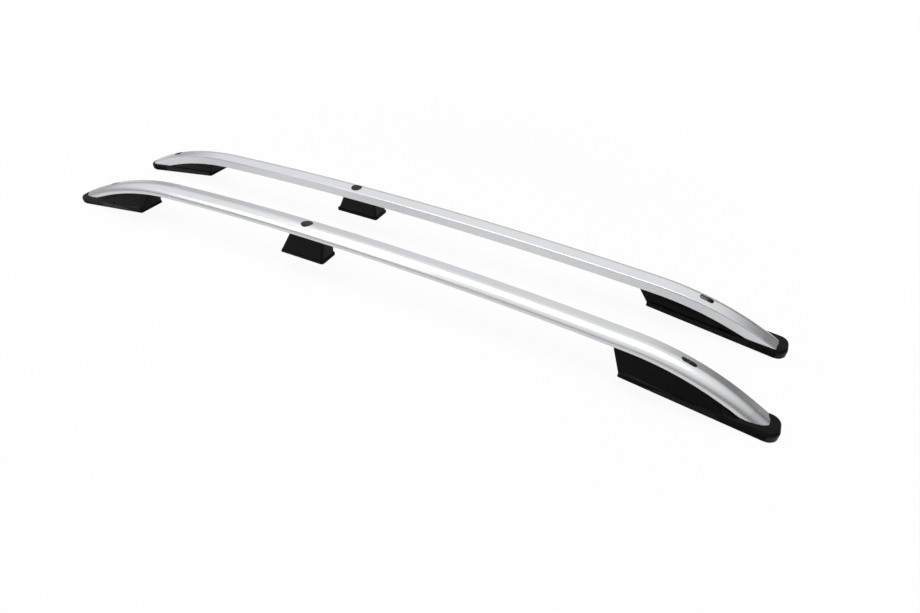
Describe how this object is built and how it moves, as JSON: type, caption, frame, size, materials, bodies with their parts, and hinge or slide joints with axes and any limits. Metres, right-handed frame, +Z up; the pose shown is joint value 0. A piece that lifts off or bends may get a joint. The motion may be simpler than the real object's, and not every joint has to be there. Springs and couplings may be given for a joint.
{
  "type": "roof side rail pair",
  "caption": "Pair of bent aluminium roof side rails on black moulded feet, with slots over the end feet and a gap beneath for cross bar clamps.",
  "frame": {"origin": "centre of the pair, on the plane on which the tips of the feet stand", "axes": "+X along the rails to the front, +Y from the right rail to the left rail, +Z up"},
  "size_m": [1.975, 0.3516, 0.1396],
  "materials": {
    "anodised_aluminium": "satin anodised",
    "black_moulding": "fine-grained satin",
    "rubber_pad": "matt",
    "black_cap": "semi-gloss",
    "zinc_steel": "zinc plated",
    "screw_steel": "plain"
  },
  "bodies": {
    "root": {"right_rail": "anodised_aluminium", "right_front_foot": "black_moulding", "right_middle_foot": "black_moulding", "right_rear_foot": "black_moulding", "right_front_pad": "rubber_pad", "right_rear_pad": "rubber_pad", "right_hole_cap": "black_cap", "right_front_sleeve": "zinc_steel", "right_middle_sleeve": "zinc_steel", "right_rear_sleeve": "zinc_steel", "right_front_screws": "screw_steel", "right_middle_screws": "screw_steel", "right_rear_screws": "screw_steel", "left_rail": "anodised_aluminium", "left_front_foot": "black_moulding", "left_middle_foot": "black_moulding", "left_rear_foot": "black_moulding", "left_front_pad": "rubber_pad", "left_rear_pad": "rubber_pad", "left_hole_cap": "black_cap", "left_front_sleeve": "zinc_steel", "left_middle_sleeve": "zinc_steel", "left_rear_sleeve": "zinc_steel", "left_front_screws": "screw_steel", "left_middle_screws": "screw_steel", "left_rear_screws": "screw_steel"}
  },
  "joints": []
}
